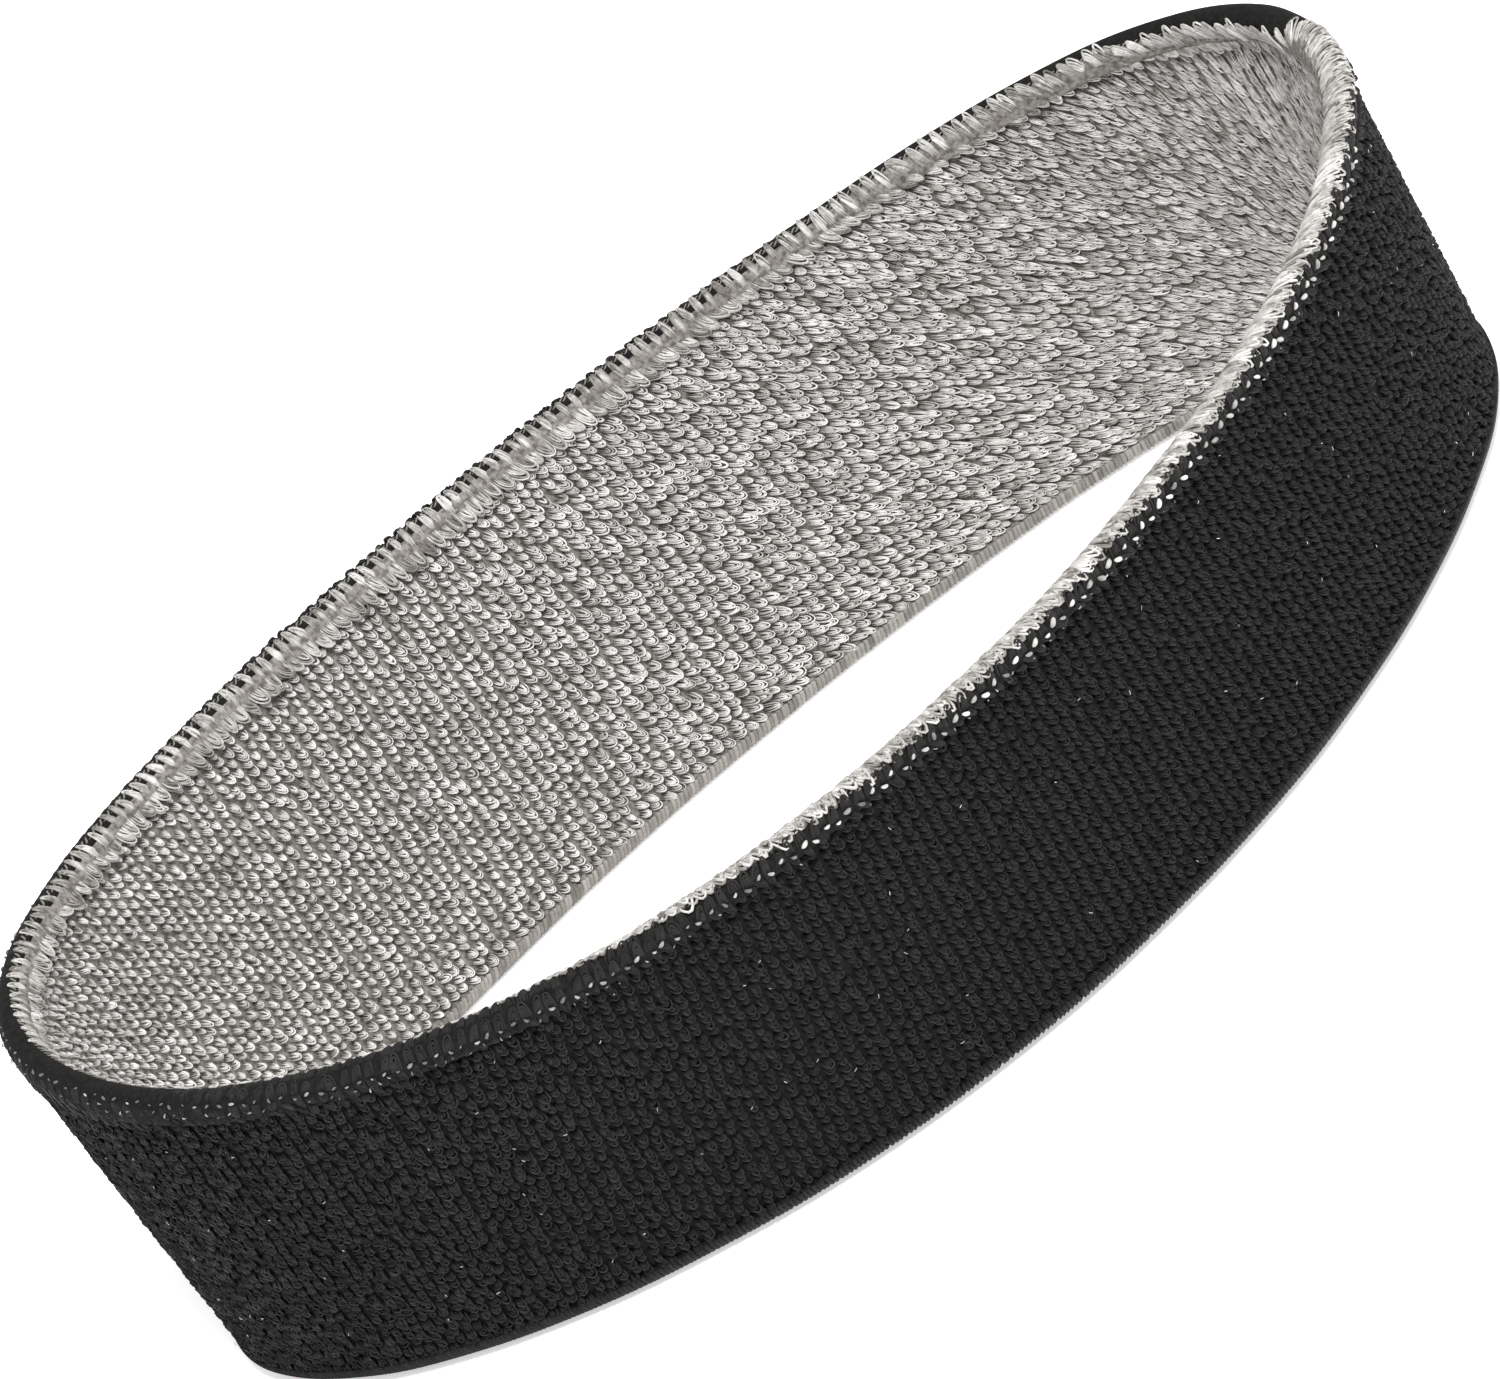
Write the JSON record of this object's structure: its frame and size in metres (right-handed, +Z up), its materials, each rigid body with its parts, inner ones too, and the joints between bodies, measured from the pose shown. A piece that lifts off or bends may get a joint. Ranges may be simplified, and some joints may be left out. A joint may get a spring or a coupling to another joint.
{
  "type": "sports headband",
  "caption": "Oval knitted terry headband, dark loops outside and heather grey loops inside, joined along the upper rim by a chain of grey yarn.",
  "frame": {"origin": "centre of the object's box, on the plane that the lower rim stands on", "axes": "+Z up, from the lower rim to the upper rim; +X along the oval's long axis; +Y to the flatter long side"},
  "size_m": [0.2002, 0.1335, 0.0532],
  "materials": {
    "black_terry": "matte looped terry",
    "grey_terry": "matte heather looped terry",
    "black_plain_knit": "matte plain knit",
    "grey_plain_knit": "matte plain knit",
    "linking_yarn": "matte plied yarn",
    "elastic": "covered elastic yarn"
  },
  "bodies": {
    "root": {"outer_terry": "black_terry", "inner_terry": "grey_terry", "elastic_yarns": "elastic", "lower_fold_outer": "black_plain_knit", "lower_fold_inner": "grey_plain_knit", "upper_edge_outer": "black_plain_knit", "upper_edge_inner": "grey_plain_knit", "linking_stitches": "linking_yarn", "linking_chain": "linking_yarn"}
  },
  "joints": []
}
